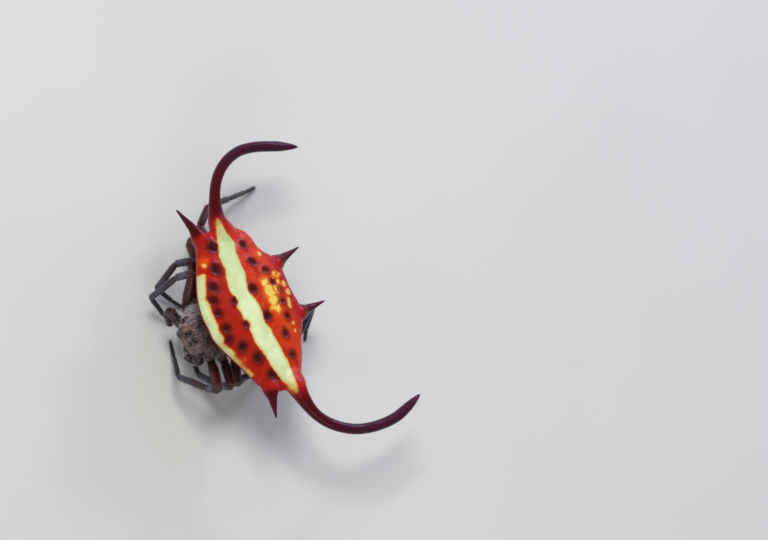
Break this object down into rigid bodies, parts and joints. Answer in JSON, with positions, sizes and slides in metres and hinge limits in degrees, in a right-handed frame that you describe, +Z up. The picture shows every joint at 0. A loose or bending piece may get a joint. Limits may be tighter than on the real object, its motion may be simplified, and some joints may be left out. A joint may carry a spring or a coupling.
{
  "type": "spiny orb weaver spider",
  "caption": "Life-size still model of a long-horned spiny orb weaver standing on its feet, with a wide hard shield, sickle horns, short spines and folded front legs.",
  "frame": {"origin": "middle of the footprint of the whole animal, on the floor that its feet stand on", "axes": "+X to the spider's left, -Y the way it faces, +Z up from the floor"},
  "size_m": [0.0172, 0.0118, 0.0051],
  "materials": {
    "shield_cuticle": "glossy scarlet hard cuticle with cream bands and dark brown pits",
    "horn_cuticle": "glossy dark wine-red cuticle with a purple-blue sheen",
    "carapace_cuticle": "grey-brown cuticle with short whitish hairs",
    "leg_cuticle": "satin dark red to grey-brown cuticle with fine hairs",
    "eye_lens": "clear glossy black lenses"
  },
  "bodies": {
    "root": {"abdomen": "shield_cuticle", "horn_left": "horn_cuticle", "horn_right": "horn_cuticle", "spinnerets": "leg_cuticle", "pedicel": "leg_cuticle", "carapace": "carapace_cuticle", "chelicera_left": "leg_cuticle", "chelicera_right": "leg_cuticle", "pedipalp_left": "leg_cuticle", "pedipalp_right": "leg_cuticle", "leg_left_1": "leg_cuticle", "leg_left_2": "leg_cuticle", "leg_left_3": "leg_cuticle", "leg_left_4": "leg_cuticle", "leg_right_1": "leg_cuticle", "leg_right_2": "leg_cuticle", "leg_right_3": "leg_cuticle", "leg_right_4": "leg_cuticle"}
  },
  "joints": []
}
